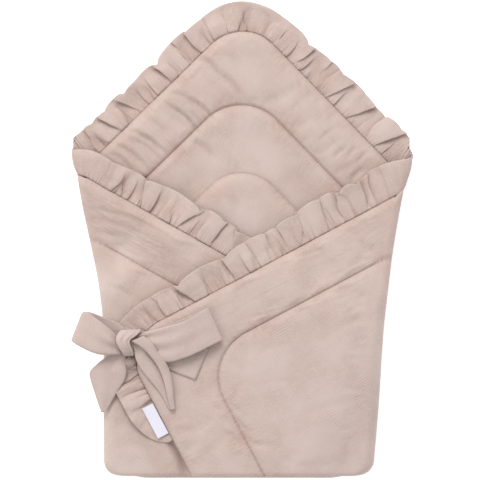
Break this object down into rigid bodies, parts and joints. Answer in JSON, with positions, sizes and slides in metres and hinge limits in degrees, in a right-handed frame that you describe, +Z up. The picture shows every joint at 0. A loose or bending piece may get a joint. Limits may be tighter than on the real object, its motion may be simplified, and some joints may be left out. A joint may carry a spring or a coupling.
{
  "type": "padded swaddle wrap",
  "caption": "Quilted muslin baby wrap folded as an envelope, with a gathered ruffle round its head and flap edges, closed by a tied bow.",
  "frame": {"origin": "on the surface that the wrap lies on, under the middle of its outline", "axes": "+Z up out of the folded front, +Y towards the head corner, +X to the right seen from above with the head up"},
  "size_m": [0.456, 0.6315, 0.0635],
  "materials": {
    "muslin": "crinkled double muslin over wadding, dusty pink beige, matte",
    "ruffle_muslin": "gathered crinkled muslin, matte",
    "tie_muslin": "doubled crinkled muslin, pressed edges, matte",
    "label_tape": "plain white woven tape"
  },
  "bodies": {
    "root": {"wrap": "muslin", "ruffle": "ruffle_muslin", "tie_left": "tie_muslin", "tie_right": "tie_muslin", "label": "label_tape"}
  },
  "joints": []
}
